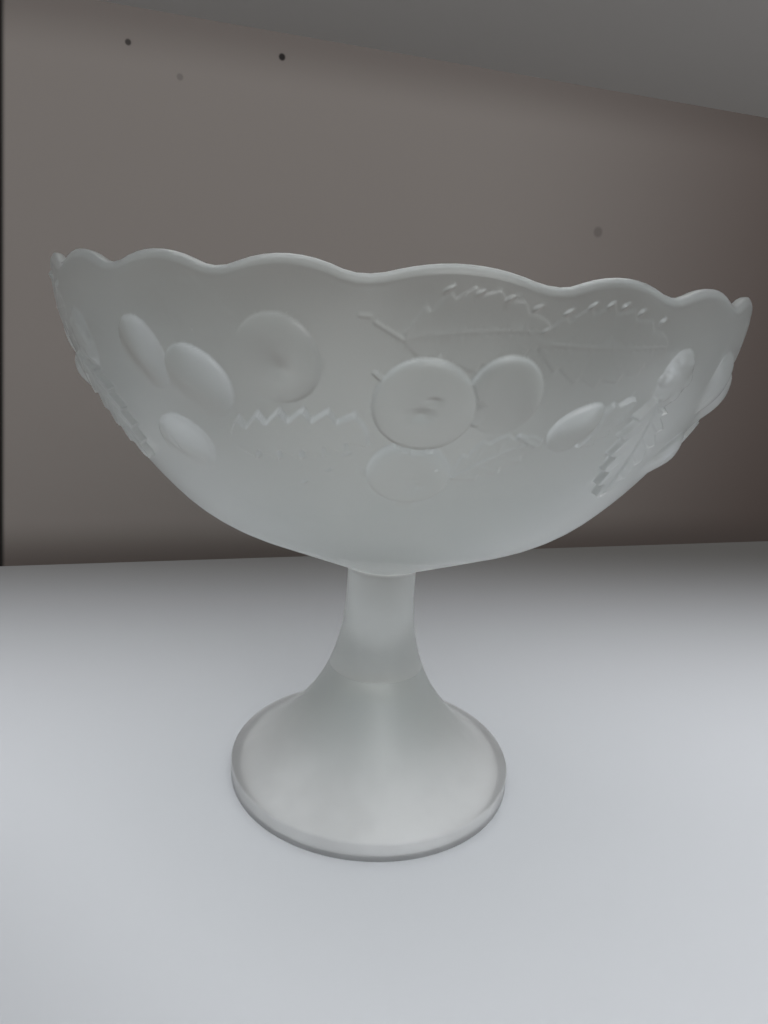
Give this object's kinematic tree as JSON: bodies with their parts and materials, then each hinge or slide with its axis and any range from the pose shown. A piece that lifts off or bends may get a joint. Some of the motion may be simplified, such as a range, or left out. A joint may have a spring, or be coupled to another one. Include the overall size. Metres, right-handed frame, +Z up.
{
  "type": "footed fruit bowl",
  "caption": "Frosted pressed glass fruit bowl on a tall hollow foot, with a scalloped rim and a garland of fruit and leaves round the wall.",
  "frame": {"origin": "centre of the ring that the foot rests on", "axes": "+Z up along the axis of the bowl, stem and foot; -Y towards the camera of the picture"},
  "size_m": [0.2308, 0.2308, 0.1981],
  "materials": {
    "bowl_glass": "satin",
    "stem_glass": "satin",
    "foot_glass": "satin"
  },
  "bodies": {
    "root": {"bowl": "bowl_glass", "stem": "stem_glass", "foot": "foot_glass"}
  },
  "joints": []
}
